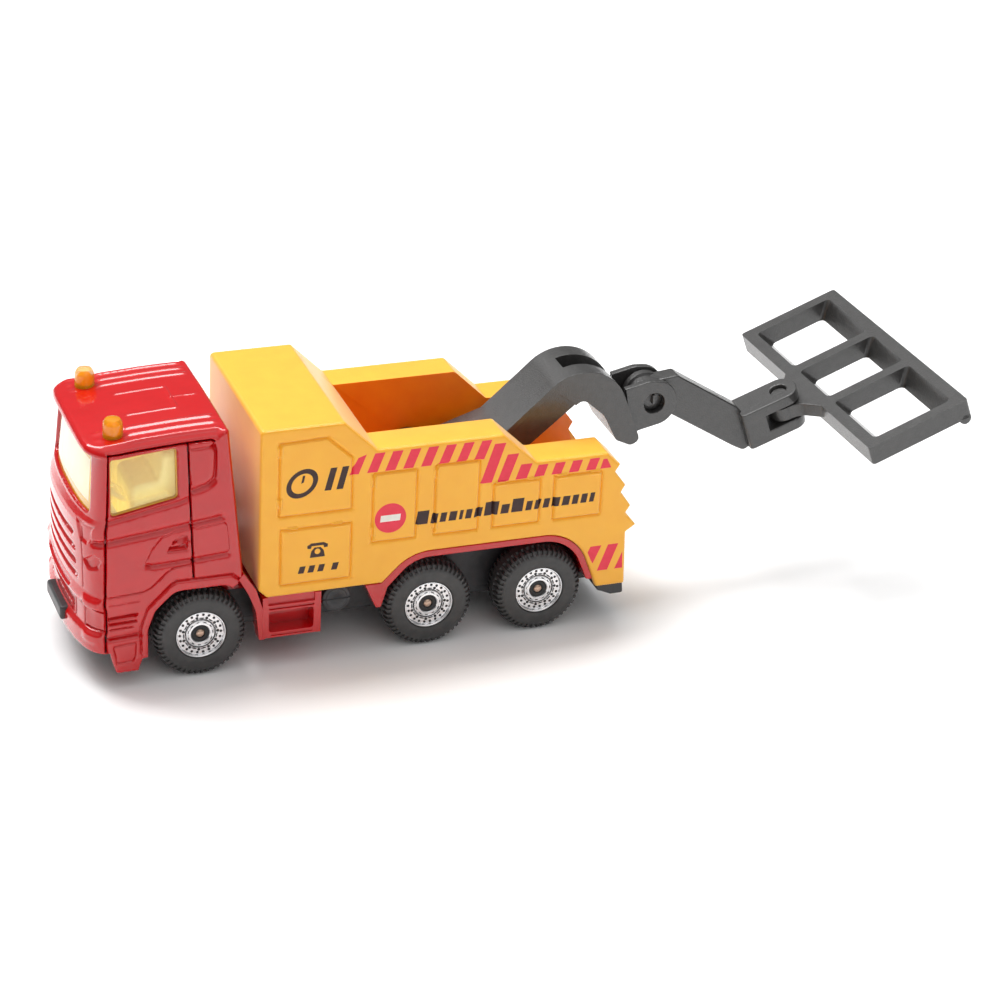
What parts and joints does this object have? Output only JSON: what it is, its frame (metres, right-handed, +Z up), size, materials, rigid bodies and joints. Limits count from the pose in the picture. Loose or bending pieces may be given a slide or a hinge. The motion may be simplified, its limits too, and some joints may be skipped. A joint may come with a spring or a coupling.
{
  "type": "toy tow truck",
  "caption": "Small die-cast toy tow truck: red cab, yellow recovery body, free-rolling wheels, and a hinged boom and arm that carry a swivelling lifting frame.",
  "frame": {"origin": "on the ground under the middle of the whole toy's length and width, with the arm as it is at rest", "axes": "+X forward to the cab, +Y to the truck's left side, +Z up"},
  "size_m": [0.1306, 0.0431, 0.0397],
  "materials": {
    "red_enamel": "gloss enamel on die-cast metal",
    "amber_clear": "clear tinted plastic",
    "cream_plastic": "satin moulded plastic",
    "yellow_plastic": "satin moulded plastic with printed markings",
    "black_plastic": "satin moulded plastic",
    "dark_plastic": "fine-textured moulded plastic",
    "tyre": "matt moulded tyre",
    "silver_rim": "silver hot-stamped plastic",
    "steel": "drawn steel wire"
  },
  "bodies": {
    "truck": {"cab_casting": "red_enamel", "window_insert": "amber_clear", "interior_moulding": "cream_plastic", "superstructure": "yellow_plastic", "base_plate": "black_plastic"},
    "front_wheels": {"front_axle": "steel", "front_left_rim": "silver_rim", "front_left_tyre": "tyre", "front_right_rim": "silver_rim", "front_right_tyre": "tyre"},
    "middle_wheels": {"middle_axle": "steel", "middle_left_rim": "silver_rim", "middle_left_tyre": "tyre", "middle_right_rim": "silver_rim", "middle_right_tyre": "tyre"},
    "rear_wheels": {"rear_axle": "steel", "rear_left_rim": "silver_rim", "rear_left_tyre": "tyre", "rear_right_rim": "silver_rim", "rear_right_tyre": "tyre"},
    "boom": {"boom": "dark_plastic"},
    "arm": {"arm": "dark_plastic"},
    "lifting_frame": {"lifting_frame": "dark_plastic"}
  },
  "joints": [
    {"name": "front_axle_spin", "type": "hinge", "parent": "truck", "child": "front_wheels", "pos_m": [0.04733, 0, 0.0065], "axis": [0, 1, 0], "continuous": true},
    {"name": "middle_axle_spin", "type": "hinge", "parent": "truck", "child": "middle_wheels", "pos_m": [0.01403, 0, 0.0065], "axis": [0, 1, 0], "continuous": true},
    {"name": "rear_axle_spin", "type": "hinge", "parent": "truck", "child": "rear_wheels", "pos_m": [-0.00267, 0, 0.0065], "axis": [0, 1, 0], "continuous": true},
    {"name": "boom_lift", "type": "hinge", "parent": "truck", "child": "boom", "pos_m": [0.01133, 0, 0.0216], "axis": [0, 1, 0], "range_deg": [-8, 50]},
    {"name": "arm_fold", "type": "hinge", "parent": "boom", "child": "arm", "pos_m": [-0.02271, 0, 0.02949], "axis": [0, 1, 0], "range_deg": [-22, 65]},
    {"name": "frame_swing", "type": "hinge", "parent": "arm", "child": "lifting_frame", "pos_m": [-0.04453, 0, 0.02594], "axis": [0.3464, 0, 0.9381], "range_deg": [-60, 60]}
  ]
}
